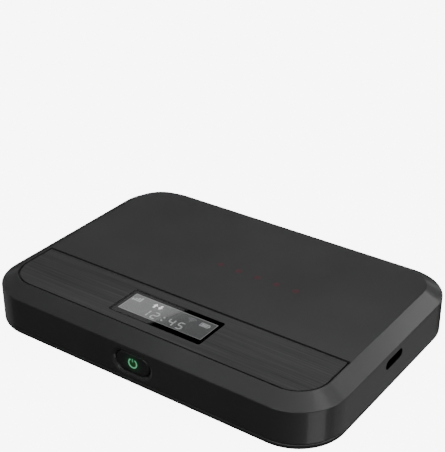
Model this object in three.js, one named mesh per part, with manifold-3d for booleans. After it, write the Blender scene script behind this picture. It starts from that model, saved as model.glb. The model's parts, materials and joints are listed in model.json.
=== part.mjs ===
// Pocket mobile hotspot, modelled as an assembly of separate pieces.
// Millimetres, +Z up. The origin is the middle of the underside. +X points to the charging port,
// -Y to the power button, and the display and its brushed strip are on the top face.
import * as THREE from "three";
import { mergeVertices } from "three/addons/utils/BufferGeometryUtils.js";
import Module from "manifold-3d";

const wasm = await Module();
wasm.setup();

// ---------- driving dimensions ----------
const LENGTH = 105;
const WIDTH = 74.4;
const HEIGHT = 13.5;
const CORNER_RADIUS = 13.4;
const CHAMFER_WIDTH = 4.45; // in plan, from the side wall to the flat top
const CHAMFER_HEIGHT = 2.5;
const WALL = 1.6;
const CORNER_STEPS = 8;
const GAP = 0.15; // between pieces that sit next to each other

const COVER_FLOOR = 1.2; // the back cover's plate, with its rounded lower edge
const COVER_RIM = 1.65; // the back cover's raised rim
const SEAM_Z = COVER_RIM + GAP; // lower edge of the top cover
const CEILING_Z = 11.85; // underside of the top cover's flat top
const DECK_Z = 1.5; // lower face of the inner chassis
const DECK_THICK = 1.0;
const BAY_CEILING_Z = 6.4;
const BAY_CEILING_THICK = 0.8;
const BOARD_Z = 7.9;
const BOARD_THICK = 0.8;
const BOARD_TOP = BOARD_Z + BOARD_THICK;

const STRIP_DEPTH = 18.5; // from front to back
const POCKET_EDGE = 0.15; // the pocket starts this far in from the chamfer
const STRIP_GROOVE = 0.55; // open groove round the strip, inside its pocket
const POCKET_Z = 12.65; // floor of the strip's pocket
const WINDOW = { length: 28.5, depth: 11.1, radius: 0.6 };
const SCREEN = { length: 27.0, depth: 8.8 };

const BUTTON = { x: -0.5, z: 6.2, length: 10.7, height: 5.5, travel: 0.35 };
const BUTTON_DISH = { length: 13.0, height: 7.1, depth: 0.7 };
const SYMBOL = { radius: 1.25, line: 0.38, gap_deg: 64, stem_low: 0.35, stem: 1.0, depth: 0.4 };

const PORT = { y: -0.1, z: 8.0, length: 8.6, height: 2.7 }; // opening in the case wall
const PORT_SHELL = { length: 8.94, height: 3.2, sheet: 0.3, depth: 7.2 };
const PORT_WALL = 0.8; // the case wall is thinned to this in front of the socket

const BATTERY = { length: 64, width: 56, thick: 4.5, z: 1.7, x: -14.5 };
const END_CAP = 2.0; // the battery's plastic end, inside its length
const TERMINAL_PITCH = 3.0;
const TERMINALS = [-1.5, -0.5, 0.5, 1.5].map((k) => k * TERMINAL_PITCH);

const SIM = { x: 6.2, y: 12, length: 12.3, width: 8.8, thick: 0.67, z: 6.85 };
const SIM_TRAVEL = 11;
const RESET = { x: 33, y: 24 };

const SCREW = { shank_r: 0.8, head_r: 1.5, head: 0.55, length: 5.6 };
const BOSS_R = 2.2;
const SCREW_PLACES = [
  [-36, -32], [22, -32], [-36, 32], [22, 32], [43.5, -24], [43.5, 24],
];

// ---------- worked out from them ----------
const HALF_L = LENGTH / 2;
const HALF_W = WIDTH / 2;
const CREASE_Z = HEIGHT - CHAMFER_HEIGHT;
const STRIP_FRONT = -HALF_W + CHAMFER_WIDTH;
const STRIP_BACK = STRIP_FRONT + STRIP_DEPTH;
const DISPLAY_Y = (STRIP_FRONT + STRIP_BACK) / 2;
const BAY = {
  x0: BATTERY.x - BATTERY.length / 2 - 0.3,
  x1: BATTERY.x + BATTERY.length / 2 + 0.3,
  y: BATTERY.width / 2 + 0.3,
};
const BAY_WALL = 1.0;
const SWITCH_FACE = -32.4; // front face of the power button's switch
const PLUNGER_END = -32.1;
const PRY_NOTCH = { depth: 0.7, half: 6 }; // for a fingernail, opposite the port
const PORT_MOUTH = HALF_L - PORT_WALL - 0.05; // where the socket starts

// ---------- geometry helpers ----------

// Points of a rectangle with round corners, counter-clockwise, centred on the origin.
function roundedRect(length, depth, radius, steps = CORNER_STEPS) {
  if (radius <= 0) {
    return [[1, 1], [-1, 1], [-1, -1], [1, -1]].map(
      ([sx, sy]) => new THREE.Vector2((sx * length) / 2, (sy * depth) / 2),
    );
  }
  const points = [];
  const corners = [[1, 1, 0], [-1, 1, 90], [-1, -1, 180], [1, -1, 270]];
  for (const [sx, sy, start] of corners) {
    for (let i = 0; i <= steps; i++) {
      const a = THREE.MathUtils.degToRad(start + (90 * i) / steps);
      points.push(
        new THREE.Vector2(
          sx * (length / 2 - radius) + radius * Math.cos(a),
          sy * (depth / 2 - radius) + radius * Math.sin(a),
        ),
      );
    }
  }
  return points;
}

// The case's outline in plan, moved in from the side walls by an inset.
function caseOutline(inset) {
  const radius = Math.max(CORNER_RADIUS - inset, 0.5);
  return roundedRect(LENGTH - 2 * inset, WIDTH - 2 * inset, radius);
}

// A closed solid through outlines of equal point count, from low to high: [[z, points], ...].
function loft(levels) {
  const count = levels[0][1].length;
  const position = levels.flatMap(([z, points]) => points.flatMap((p) => [p.x, p.y, z]));
  const index = [];
  for (let level = 0; level < levels.length - 1; level++) {
    for (let i = 0; i < count; i++) {
      const a = level * count + i;
      const b = level * count + ((i + 1) % count);
      index.push(a, b, b + count, a, b + count, a + count);
    }
  }
  const top = (levels.length - 1) * count;
  for (let i = 1; i < count - 1; i++) {
    index.push(0, i + 1, i);
    index.push(top, top + i, top + i + 1);
  }
  const geometry = new THREE.BufferGeometry();
  geometry.setAttribute("position", new THREE.Float32BufferAttribute(position, 3));
  geometry.setIndex(index);
  return geometry;
}

// An outline in plan, pulled up from z0 to z1.
function prism(points, z0, z1) {
  const shape = new THREE.Shape(points);
  const geometry = new THREE.ExtrudeGeometry(shape, { depth: z1 - z0, bevelEnabled: false });
  return geometry.translate(0, 0, z0);
}

function box(x0, x1, y0, y1, z0, z1) {
  const geometry = new THREE.BoxGeometry(x1 - x0, y1 - y0, z1 - z0);
  return geometry.translate((x0 + x1) / 2, (y0 + y1) / 2, (z0 + z1) / 2);
}

// A box given by its middle in plan and its size, from z0 to z1.
function block(x, y, length, depth, z0, z1) {
  return box(x - length / 2, x + length / 2, y - depth / 2, y + depth / 2, z0, z1);
}

// A block with round corners in plan.
function roundBlock(x, y, length, depth, radius, z0, z1, steps = 4) {
  return prism(roundedRect(length, depth, radius, steps), z0, z1).translate(x, y, 0);
}

// A round bar along Z.
function rod(x, y, radius, z0, z1, sides = 16) {
  const geometry = new THREE.CylinderGeometry(radius, radius, z1 - z0, sides);
  return geometry.rotateX(Math.PI / 2).translate(x, y, (z0 + z1) / 2);
}

// Turns a piece modelled flat so that it stands on the front wall, in line with the button: its X
// stays X, its Y becomes Z, and its Z points out of the wall, along -Y.
function ontoFront(geometry, y, z) {
  const turn = new THREE.Matrix4().makeBasis(
    new THREE.Vector3(1, 0, 0),
    new THREE.Vector3(0, 0, 1),
    new THREE.Vector3(0, -1, 0),
  );
  return geometry.applyMatrix4(turn).translate(BUTTON.x, y, z);
}

// The same for the side with the port: its X becomes Y, its Y becomes Z, and its Z points along +X.
function ontoPortSide(geometry, x) {
  const turn = new THREE.Matrix4().makeBasis(
    new THREE.Vector3(0, 1, 0),
    new THREE.Vector3(0, 0, 1),
    new THREE.Vector3(1, 0, 0),
  );
  return geometry.applyMatrix4(turn).translate(x, PORT.y, PORT.z);
}

function pill(length, height, steps = 6) {
  return roundedRect(length, height, height / 2, steps);
}

// ---------- booleans ----------
function toSolid(geometry) {
  const bare = new THREE.BufferGeometry();
  bare.setAttribute("position", geometry.getAttribute("position"));
  if (geometry.index) bare.setIndex(geometry.index);
  const merged = mergeVertices(bare, 1e-4);
  return new wasm.Manifold(
    new wasm.Mesh({
      numProp: 3,
      vertProperties: merged.attributes.position.array,
      triVerts: new Uint32Array(merged.index.array),
    }),
  );
}

function toGeometry(solid) {
  const mesh = solid.getMesh();
  const geometry = new THREE.BufferGeometry();
  geometry.setAttribute("position", new THREE.BufferAttribute(mesh.vertProperties, 3));
  geometry.setIndex(new THREE.BufferAttribute(mesh.triVerts, 1));
  return geometry;
}

function join(first, ...others) {
  return toGeometry(others.reduce((solid, g) => solid.add(toSolid(g)), toSolid(first)));
}

function cut(first, ...tools) {
  return toGeometry(tools.reduce((solid, g) => solid.subtract(toSolid(g)), toSolid(first)));
}

// ---------- materials ----------
function plastic(color, roughness) {
  return new THREE.MeshStandardMaterial({ color, roughness, metalness: 0 });
}

function metal(color, roughness) {
  return new THREE.MeshStandardMaterial({ color, roughness, metalness: 1 });
}

const MATERIALS = {
  case: plastic(0x2b2b2c, 0.55),
  strip: plastic(0x303032, 0.38),
  button: plastic(0x171718, 0.5),
  symbol: plastic(0x35c46a, 0.4),
  lens: new THREE.MeshStandardMaterial({
    color: 0xe6ebee, roughness: 0.05, transparent: true, opacity: 0.35,
  }),
  screen: plastic(0x4a4c4e, 0.3),
  chassis: plastic(0x1d1d1f, 0.65),
  board: plastic(0x14482c, 0.4),
  chip: plastic(0x17181a, 0.5),
  pad: plastic(0x8d97a5, 0.85),
  foam: plastic(0x2a2a2c, 0.95),
  flex: plastic(0xa5651f, 0.35),
  sim: plastic(0xdfe2e4, 0.4),
  wrap: plastic(0x24282d, 0.4),
  end_cap: plastic(0x0f0f10, 0.5),
  sheet: metal(0xb9bcc0, 0.35),
  gold: metal(0xd2a64c, 0.25),
  copper: metal(0xb56a3c, 0.35),
  screw: metal(0x6c6e72, 0.35),
};

function piece(name, material, geometry) {
  const flat = geometry.index ? geometry.toNonIndexed() : geometry;
  flat.computeVertexNormals();
  const mesh = new THREE.Mesh(flat, MATERIALS[material]);
  mesh.name = name;
  return mesh;
}

function groupOf(...meshes) {
  const group = new THREE.Group();
  group.add(...meshes);
  return group;
}

// ---------- casing ----------

// The strip's outline in plan: round front corners, a straight back edge.
function stripOutline(inset, back) {
  const x = HALF_L - CHAMFER_WIDTH - inset;
  const front = STRIP_FRONT + inset;
  const radius = CORNER_RADIUS - CHAMFER_WIDTH - inset;
  const shape = new THREE.Shape();
  shape.moveTo(x, back);
  shape.lineTo(-x, back);
  shape.lineTo(-x, front + radius);
  shape.absarc(-x + radius, front + radius, radius, Math.PI, 1.5 * Math.PI, false);
  shape.lineTo(x - radius, front);
  shape.absarc(x - radius, front + radius, radius, 1.5 * Math.PI, 2 * Math.PI, false);
  return shape.extractPoints(CORNER_STEPS).shape;
}

// The notch that runs across the seam, so that the back cover can be pried off.
function notchTool(z0, z1) {
  return box(-HALF_L - 1, -HALF_L + PRY_NOTCH.depth, -PRY_NOTCH.half, PRY_NOTCH.half, z0, z1);
}

function coverOuter() {
  return loft([
    [SEAM_Z, caseOutline(0)],
    [CREASE_Z, caseOutline(0)],
    [HEIGHT, caseOutline(CHAMFER_WIDTH)],
  ]);
}

// The hollow keeps the wall's thickness under the chamfer.
function coverHollow() {
  const slope = CHAMFER_WIDTH / CHAMFER_HEIGHT;
  const shoulder = CREASE_Z - 0.9;
  const ceilingInset = WALL + (CEILING_Z - shoulder) * slope;
  return loft([
    [SEAM_Z - 1, caseOutline(WALL)],
    [shoulder, caseOutline(WALL)],
    [CEILING_Z, caseOutline(ceilingInset)],
  ]);
}

function topCover() {
  const shell = toSolid(coverOuter()).subtract(toSolid(coverHollow()));
  const bosses = SCREW_PLACES.map(([x, y]) =>
    rod(x, y, BOSS_R, DECK_Z + DECK_THICK + GAP, CEILING_Z + 0.3),
  );
  const withBosses = bosses.reduce((solid, g) => solid.add(toSolid(g)), shell);

  const pocket = prism(stripOutline(POCKET_EDGE, STRIP_BACK), POCKET_Z, HEIGHT + 1);
  const displayHole = block(
    0, DISPLAY_Y, SCREEN.length + 0.4, SCREEN.depth + 0.4, CEILING_Z - 1, POCKET_Z + 1,
  );
  const dish = ontoFront(
    loft([
      [-BUTTON_DISH.depth, pill(BUTTON.length + 0.6, BUTTON.height + 0.6)],
      [0, pill(BUTTON_DISH.length, BUTTON_DISH.height)],
      [0.5, pill(BUTTON_DISH.length, BUTTON_DISH.height)],
    ]),
    -HALF_W, BUTTON.z,
  );
  const buttonHole = ontoFront(
    prism(pill(BUTTON.length + 0.3, BUTTON.height + 0.3), -2 * WALL, 0), -HALF_W, BUTTON.z,
  );
  const portHole = ontoPortSide(
    prism(pill(PORT.length, PORT.height), -2 * WALL, 1), HALF_L,
  );
  // the wall is thinned behind the port, so that the socket sits close to the outside
  const portSeat = ontoPortSide(
    prism(pill(PORT_SHELL.length + 0.4, PORT_SHELL.height + 0.4), -2 * WALL, -PORT_WALL), HALF_L,
  );
  const pryNotch = notchTool(SEAM_Z - 1, SEAM_Z + 0.5);
  const pilots = SCREW_PLACES.map(([x, y]) =>
    rod(x, y, SCREW.shank_r + 0.1, DECK_Z, DECK_Z + SCREW.length + 1.2, 16),
  );
  const tools = [
    pocket, displayHole, dish, buttonHole, portHole, portSeat, pryNotch, ...pilots,
  ];
  const solid = tools.reduce((s, g) => s.subtract(toSolid(g)), withBosses);
  return piece("top_cover", "case", toGeometry(solid));
}

function trimStrip() {
  const outline = stripOutline(POCKET_EDGE + STRIP_GROOVE, STRIP_BACK - STRIP_GROOVE);
  const plate = prism(outline, POCKET_Z + 0.1, HEIGHT - 0.1);
  const opening = roundBlock(
    0, DISPLAY_Y, WINDOW.length + 0.2, WINDOW.depth + 0.2, WINDOW.radius,
    POCKET_Z - 1, HEIGHT + 1,
  );
  return piece("trim_strip", "strip", cut(plate, opening));
}

function backCover() {
  const edge = COVER_FLOOR; // the lower edge's radius is the plate's thickness
  const levels = [];
  for (let i = 0; i <= 4; i++) {
    const a = (i / 4) * (Math.PI / 2);
    levels.push([edge * (1 - Math.cos(a)), caseOutline(edge * (1 - Math.sin(a)))]);
  }
  levels.push([COVER_RIM, caseOutline(0)]);
  const inside = caseOutline(WALL + 1.1);
  const plate = cut(loft(levels), prism(inside, COVER_FLOOR, COVER_RIM + 1));
  const lipTop = DECK_Z + DECK_THICK - 0.1;
  const lip = cut(
    prism(caseOutline(WALL + 0.2), COVER_FLOOR + 0.1, lipTop),
    prism(inside, COVER_FLOOR - 0.5, lipTop + 1),
  );
  const pryNotch = notchTool(COVER_RIM - 0.45, COVER_RIM + 1);
  return piece("back_cover", "case", cut(join(plate, lip), pryNotch));
}

function pressurePad() {
  const z0 = COVER_FLOOR + 0.05;
  return piece("battery_pressure_pad", "foam", block(BATTERY.x, 0, 46, 8, z0, BATTERY.z - 0.05));
}

// ---------- chassis ----------
function chassisFrame() {
  const deckTop = DECK_Z + DECK_THICK;
  const bayMiddle = (BAY.x0 + BAY.x1) / 2;
  const bayLength = BAY.x1 - BAY.x0;
  const ceilingTop = BAY_CEILING_Z + BAY_CEILING_THICK;
  const deck = prism(caseOutline(WALL + 1.4), DECK_Z, deckTop);
  const bayOuter = roundBlock(
    bayMiddle, 0, bayLength + 2 * BAY_WALL, 2 * (BAY.y + BAY_WALL), 2.2, DECK_Z, ceilingTop,
  );
  const bayInner = roundBlock(
    bayMiddle, 0, bayLength, 2 * BAY.y, 1.2, DECK_Z - 1, BAY_CEILING_Z,
  );
  // posts that carry the board
  const posts = [
    ...[[-42, -24], [-42, 24], [-2, -24], [-2, 24]].map(([x, y]) =>
      rod(x, y, 1.6, ceilingTop - 0.2, BOARD_Z - 0.1, 16)),
    ...[[38, -16], [38, 16]].map(([x, y]) => rod(x, y, 1.6, deckTop - 0.2, BOARD_Z - 0.1, 16)),
  ];
  const body = join(deck, bayOuter, ...posts);

  const simWindow = box(
    SIM.x - SIM.length / 2 - SIM_TRAVEL - 1, SIM.x + SIM.length / 2 + 2,
    SIM.y - 6.5, SIM.y + 6.5, BAY_CEILING_Z - 1, ceilingTop + 1,
  );
  const connectorGap = box(BAY.x1 - 1, BAY.x1 + 5, -7, 7, DECK_Z + 1.2, ceilingTop + 1);
  const fingerScoop = rod(BATTERY.x, BAY.y - 1.5, 6, DECK_Z - 1, DECK_Z + 3, 24);
  const resetHole = rod(RESET.x, RESET.y, 0.9, DECK_Z - 1, deckTop + 1, 16);
  const screwHoles = SCREW_PLACES.flatMap(([x, y]) => [
    rod(x, y, SCREW.shank_r + 0.15, DECK_Z - 1, deckTop + 1, 16),
    rod(x, y, SCREW.head_r + 0.2, DECK_Z - 1, DECK_Z + SCREW.head + 0.05),
  ]);
  return piece(
    "chassis_frame", "chassis",
    cut(body, bayInner, simWindow, connectorGap, fingerScoop, resetHole, ...screwHoles),
  );
}

// One screw, head down, with a cross recess.
function screw(name, x, y) {
  const headZ = DECK_Z + 0.02;
  const head = rod(0, 0, SCREW.head_r, 0, SCREW.head);
  const shank = rod(0, 0, SCREW.shank_r, SCREW.head - 0.1, SCREW.length, 12);
  const recess = [
    box(-0.85, 0.85, -0.2, 0.2, -0.2, 0.35),
    box(-0.2, 0.2, -0.85, 0.85, -0.2, 0.35),
  ];
  const mesh = piece(name, "screw", cut(join(head, shank), ...recess));
  mesh.position.set(x, y, headZ);
  return mesh;
}

// ---------- board and what is on it ----------
const BOARD_X0 = -46.5;
const BOARD_X1 = 49;
const BOARD_Y = 31;

function mainBoard() {
  const middle = (BOARD_X0 + BOARD_X1) / 2;
  const plate = roundBlock(
    middle, 0, BOARD_X1 - BOARD_X0, 2 * BOARD_Y, 6, BOARD_Z, BOARD_TOP, 5,
  );
  const buttonTab = box(-7.5, 7.5, SWITCH_FACE - 0.6, -BOARD_Y + 1, BOARD_Z, BOARD_TOP);
  const portNotch = box(
    PORT_MOUTH - PORT_SHELL.depth - 0.35, BOARD_X1 + 1,
    PORT.y - PORT_SHELL.length / 2 - 0.2, PORT.y + PORT_SHELL.length / 2 + 0.2,
    BOARD_Z - 1, BOARD_TOP + 1,
  );
  const bossHoles = SCREW_PLACES.map(([x, y]) =>
    rod(x, y, BOSS_R + 0.3, BOARD_Z - 1, BOARD_TOP + 1));
  return piece("main_board", "board", cut(join(plate, buttonTab), portNotch, ...bossHoles));
}

// A sheet-metal can that stands on the board's upper or lower face.
function shieldCan(name, x, y, length, depth, height, below = false) {
  const sheet = 0.2;
  const z0 = below ? BOARD_Z - 0.05 - height : BOARD_TOP + 0.05;
  const z1 = z0 + height;
  const outer = block(x, y, length, depth, z0, z1);
  const inner = block(
    x, y, length - 2 * sheet, depth - 2 * sheet,
    below ? z0 + sheet : z0 - 1, below ? z1 + 1 : z1 - sheet,
  );
  return piece(name, "sheet", cut(outer, inner));
}

function chip(name, x, y, length, depth, height, below = false) {
  const z0 = below ? BOARD_Z - 0.05 - height : BOARD_TOP + 0.05;
  return piece(name, "chip", block(x, y, length, depth, z0, z0 + height));
}

function electronics() {
  const canHeight = 1.75;
  const padZ = BOARD_TOP + 0.05 + canHeight + 0.1;
  return groupOf(
    mainBoard(),
    shieldCan("modem_shield", -23, 8, 30, 32, canHeight),
    chip("modem_chip", -28, 14, 14, 14, 1.0),
    chip("memory_chip", -18, -1, 13, 11, 0.9),
    shieldCan("wifi_shield", 14, 14, 24, 24, canHeight),
    chip("wifi_chip", 13, 13, 9, 9, 0.8),
    shieldCan("power_shield", 33, 0, 16, 24, 2.0, true),
    chip("power_chip", 33, -3, 8, 8, 0.9, true),
    piece("thermal_pad", "pad", block(-23, 8, 24, 26, padZ, CEILING_Z - 0.1)),
  );
}

// ---------- display ----------
function displayFlex() {
  // a ribbon that leaves the carrier, turns down and back under it to its connector
  const drop = { x: -16.7, high: 10.75, low: 9.0, radius: 0.875 };
  const half = 0.1;
  const shape = new THREE.Shape();
  const centreZ = (drop.high + drop.low) / 2;
  shape.moveTo(drop.x, drop.high + half);
  shape.lineTo(drop.x - 3, drop.high + half);
  shape.absarc(drop.x - 3, centreZ, drop.radius + half, Math.PI / 2, 1.5 * Math.PI, false);
  shape.lineTo(drop.x + 2.6, drop.low - half);
  shape.lineTo(drop.x + 2.6, drop.low + half);
  shape.lineTo(drop.x - 3, drop.low + half);
  shape.absarc(drop.x - 3, centreZ, drop.radius - half, 1.5 * Math.PI, Math.PI / 2, true);
  shape.lineTo(drop.x, drop.high - half);
  const width = 7;
  const ribbon = new THREE.ExtrudeGeometry(shape, {
    depth: width, bevelEnabled: false, curveSegments: 8,
  });
  ribbon.rotateX(Math.PI / 2).translate(0, DISPLAY_Y + width / 2, 0);
  return piece("display_flex", "flex", ribbon);
}

function display() {
  const y = DISPLAY_Y;
  const windowZ = POCKET_Z + 0.1;
  const connector = block(-12.4, y, 4, 9, BOARD_TOP + 0.05, 9.65);
  const ribbonSlot = box(-15, -13.9, y - 3.7, y + 3.7, 8.8, 9.2);
  return groupOf(
    piece("display_window", "lens", roundBlock(
      0, y, WINDOW.length, WINDOW.depth, WINDOW.radius - 0.1, windowZ, HEIGHT - 0.05)),
    piece("display_panel", "screen", block(0, y, SCREEN.length, SCREEN.depth, 11.05, POCKET_Z)),
    piece("display_carrier", "chassis", block(0, y, 33, 13, 9.95, 10.95)),
    displayFlex(),
    piece("display_connector", "chip", cut(connector, ribbonSlot)),
  );
}

// ---------- charging port ----------
function port() {
  const { length, height, sheet, depth } = PORT_SHELL;
  const shell = cut(
    prism(pill(length, height), 0, depth),
    prism(pill(length - 2 * sheet, height - 2 * sheet), 0.3, depth + 1),
    prism(pill(6, 1.6, 4), -1, 1), // where the terminals leave at the back
  );
  const base = prism(pill(length - 2 * sheet - 0.2, height - 2 * sheet - 0.2), 0.4, 2.0);
  const tongue = prism(roundedRect(6.7, 0.7, 0.3, 3), 1.9, depth - 0.5);
  return groupOf(
    piece("usb_shell", "sheet", ontoPortSide(shell, PORT_MOUTH - depth)),
    piece("usb_tongue", "chip", ontoPortSide(join(base, tongue), PORT_MOUTH - depth)),
  );
}

// ---------- power button ----------
// An arc of the power symbol's ring, open at the top, drawn flat.
function symbolRing(margin) {
  const half = SYMBOL.line / 2 + margin;
  const spread = THREE.MathUtils.degToRad(SYMBOL.gap_deg / 2) - margin / SYMBOL.radius;
  const start = Math.PI / 2 + spread;
  const end = Math.PI / 2 - spread + 2 * Math.PI;
  const shape = new THREE.Shape();
  shape.absarc(0, 0, SYMBOL.radius + half, start, end, false);
  shape.absarc(0, 0, SYMBOL.radius - half, end, start, true);
  return shape.extractPoints(16).shape;
}

function symbolStem(margin) {
  const half = SYMBOL.line / 2 + margin;
  const low = SYMBOL.stem_low - margin;
  const high = SYMBOL.stem_low + SYMBOL.stem + margin;
  return [[-half, low], [half, low], [half, high], [-half, high]].map(
    ([x, y]) => new THREE.Vector2(x, y));
}

function powerButton() {
  const face = -HALF_W + 0.45;
  const back = -HALF_W + WALL + 0.15;
  const cap = ontoFront(
    loft([
      [face - back - 0.1, pill(BUTTON.length, BUTTON.height)],
      [-0.25, pill(BUTTON.length, BUTTON.height)],
      [0, pill(BUTTON.length - 0.5, BUTTON.height - 0.5)],
    ]),
    face, BUTTON.z,
  );
  const flange = ontoFront(
    prism(pill(BUTTON.length + 1.6, BUTTON.height + 1.4), -0.7, 0), back, BUTTON.z,
  );
  const boss = ontoFront(prism(pill(3.6, 2.2, 4), -1.2, -0.6), back, BUTTON.z - 0.5);
  const slots = [symbolRing(0.04), symbolStem(0.04)].map((outline) =>
    ontoFront(prism(outline, -SYMBOL.depth, 1), face, BUTTON.z));
  const inlay = (name, outline) => piece(name, "symbol", ontoFront(
    prism(outline, -SYMBOL.depth + 0.05, 0.01), face, BUTTON.z));
  return groupOf(
    piece("power_button", "button", cut(join(cap, flange, boss), ...slots)),
    inlay("power_symbol_ring", symbolRing(0)),
    inlay("power_symbol_stem", symbolStem(0)),
    piece("switch_plunger", "chip", box(-1.2, 1.2, back + 1.35, PLUNGER_END, 5.35, 6.45)),
  );
}

function powerSwitch() {
  const body = box(-3, 3, SWITCH_FACE, SWITCH_FACE + 2.9, 4.6, BOARD_Z - 0.05);
  const end = PLUNGER_END + BUTTON.travel + 0.2;
  const hollow = box(-1.4, 1.4, SWITCH_FACE - 1, end, 5.15, 6.65);
  const led = box(4.2, 5.8, SWITCH_FACE - 0.4, SWITCH_FACE + 0.4, 7.2, BOARD_Z - 0.05);
  return groupOf(
    piece("power_switch", "chip", cut(body, hollow)),
    piece("power_led", "symbol", led),
  );
}

function resetSwitch() {
  const base = BOARD_Z - 0.05;
  const body = block(RESET.x, RESET.y, 3.4, 3.4, base - 1.6, base);
  const hollow = rod(RESET.x, RESET.y, 0.85, base - 2, base - 0.6, 16);
  return groupOf(
    piece("reset_switch", "sheet", cut(body, hollow)),
    piece("reset_plunger", "chip", rod(RESET.x, RESET.y, 0.7, base - 2.2, base - 1.0, 16)),
  );
}

// ---------- SIM ----------
function simGroup() {
  const { x, y, length, width, z, thick } = SIM;
  const x1 = x + length / 2;
  const clampX0 = x - length / 2 + 1.8;
  const base = box(x - length / 2 + 0.6, x1 + 1, y - 5.6, y + 5.6, z + thick + 0.08, BOARD_Z - 0.05);
  const clampOuter = box(clampX0, x1 + 0.6, y - 5.0, y + 5.0, z - 0.3, z + thick + 0.05);
  const clampInner = box(
    clampX0 - 1, x1 + 0.4, y - width / 2 - 0.3, y + width / 2 + 0.3, z - 0.1, z + thick + 1,
  );
  const clampWindow = block(x + 2, y, 5, 4.6, z - 1, z + 0.1);
  const corner = 1.65; // the cut corner that keys the card
  const outline = [
    [-length / 2, -width / 2], [length / 2 - corner, -width / 2],
    [length / 2, -width / 2 + corner], [length / 2, width / 2], [-length / 2, width / 2],
  ].map(([px, py]) => new THREE.Vector2(px, py));
  return groupOf(
    piece("sim_socket", "chip", base),
    piece("sim_clamp", "sheet", cut(clampOuter, clampInner, clampWindow)),
    piece("sim_card", "sim", prism(outline, z, z + thick).translate(x, y, 0)),
  );
}

// ---------- battery ----------
function batteryGroup() {
  const x0 = BATTERY.x - BATTERY.length / 2;
  const x1 = BATTERY.x + BATTERY.length / 2;
  const z1 = BATTERY.z + BATTERY.thick;
  const capX = x1 - END_CAP;
  const cellLength = capX - 0.1 - x0;
  const cell = roundBlock(
    x0 + cellLength / 2, 0, cellLength, BATTERY.width, 1.5, BATTERY.z, z1,
  );
  const pocket = { depth: 0.4, width: 2.0, low: 2.6, high: 5.4 };
  const pockets = TERMINALS.map((y) =>
    box(x1 - pocket.depth, x1 + 1, y - pocket.width / 2, y + pocket.width / 2,
      pocket.low, pocket.high));
  const cap = cut(
    box(capX, x1, -BATTERY.width / 2 + 0.3, BATTERY.width / 2 - 0.3, BATTERY.z + 0.1, z1 - 0.1),
    ...pockets,
  );
  const terminals = TERMINALS.map((y, i) =>
    piece("battery_terminal_" + (i + 1), "gold",
      box(x1 - pocket.depth + 0.03, x1 - 0.15, y - 0.9, y + 0.9,
        pocket.low + 0.1, pocket.high - 0.1)));
  return groupOf(
    piece("battery_cell", "wrap", cell),
    piece("battery_end_cap", "end_cap", cap),
    ...terminals,
  );
}

// The connector at the end of the bay, with a bowed spring blade for each terminal.
function batteryConnector() {
  const x0 = BAY.x1 + 0.3;
  const slotHalf = 0.6;
  const body = box(x0, x0 + 4, -6.6, 6.6, DECK_Z + 1.4, BOARD_Z - 0.05);
  const slots = TERMINALS.map((y) =>
    box(x0 - 1, x0 + 1.6, y - slotHalf, y + slotHalf, 3.0, 5.2));
  const bowX = BATTERY.x + BATTERY.length / 2 + 0.1;
  const blade = () => {
    const shape = new THREE.Shape();
    shape.moveTo(x0 + 1.3, 3.2);
    shape.quadraticCurveTo(2 * bowX - x0 - 1.3, 4.1, x0 + 1.3, 5.0);
    shape.lineTo(x0 + 1.1, 5.0);
    shape.quadraticCurveTo(2 * bowX - x0 - 1.6, 4.1, x0 + 1.1, 3.2);
    return new THREE.Shape(shape.extractPoints(8).shape.reverse());
  };
  const blades = TERMINALS.map((y, i) => {
    const geometry = new THREE.ExtrudeGeometry(blade(), { depth: 0.8, bevelEnabled: false });
    geometry.rotateX(Math.PI / 2).translate(0, y + 0.4, 0);
    return piece("battery_blade_" + (i + 1), "gold", geometry);
  });
  return groupOf(piece("battery_connector", "chassis", cut(body, ...slots)), ...blades);
}

// ---------- antennas: thin flexible strips on the inner walls ----------
function antennas() {
  const inner = WALL + 0.25;
  const thick = 0.25;
  const left = -HALF_L + inner;
  const back = HALF_W - inner;
  const along = (name, geometry, ...slits) => piece(name, "copper", cut(geometry, ...slits));
  return groupOf(
    along("lte_antenna_main",
      box(left, left + thick, -20, 20, 4, 9.8),
      box(left - 1, left + 1, -16, 14, 5.6, 6.4), box(left - 1, left + 1, -14, 16, 7.6, 8.4)),
    along("lte_antenna_diversity",
      box(-30, 6, back - thick, back, 3.6, 9.6),
      box(-26, 2, back - 1, back + 1, 5.6, 6.4)),
    along("wifi_antenna_back",
      box(22, 38, back - thick, back, 4.6, 9.6), box(25, 39, back - 1, back + 1, 6.6, 7.4)),
    along("wifi_antenna_front",
      box(-36, -20, -back, -back + thick, 4.6, 9.6),
      box(-37, -23, -back - 1, -back + 1, 6.6, 7.4)),
  );
}

const hotspot = groupOf(
  groupOf(topCover(), trimStrip()),
  groupOf(backCover(), pressurePad()),
  groupOf(
    chassisFrame(),
    ...SCREW_PLACES.map(([x, y], i) => screw("chassis_screw_" + (i + 1), x, y)),
  ),
  electronics(),
  display(),
  port(),
  powerButton(),
  powerSwitch(),
  resetSwitch(),
  simGroup(),
  batteryGroup(),
  batteryConnector(),
  antennas(),
);

export default hotspot;
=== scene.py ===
"""Pocket mobile hotspot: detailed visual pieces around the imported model.

Shapes are worked out in millimetres and turned into metres when a piece is added.
The origin is the middle of the underside, +X is towards the charging port, -Y towards
the power button, and +Z up out of the display.
"""
import json
import math

import bmesh
import bpy
from mathutils import Matrix, Vector

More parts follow.
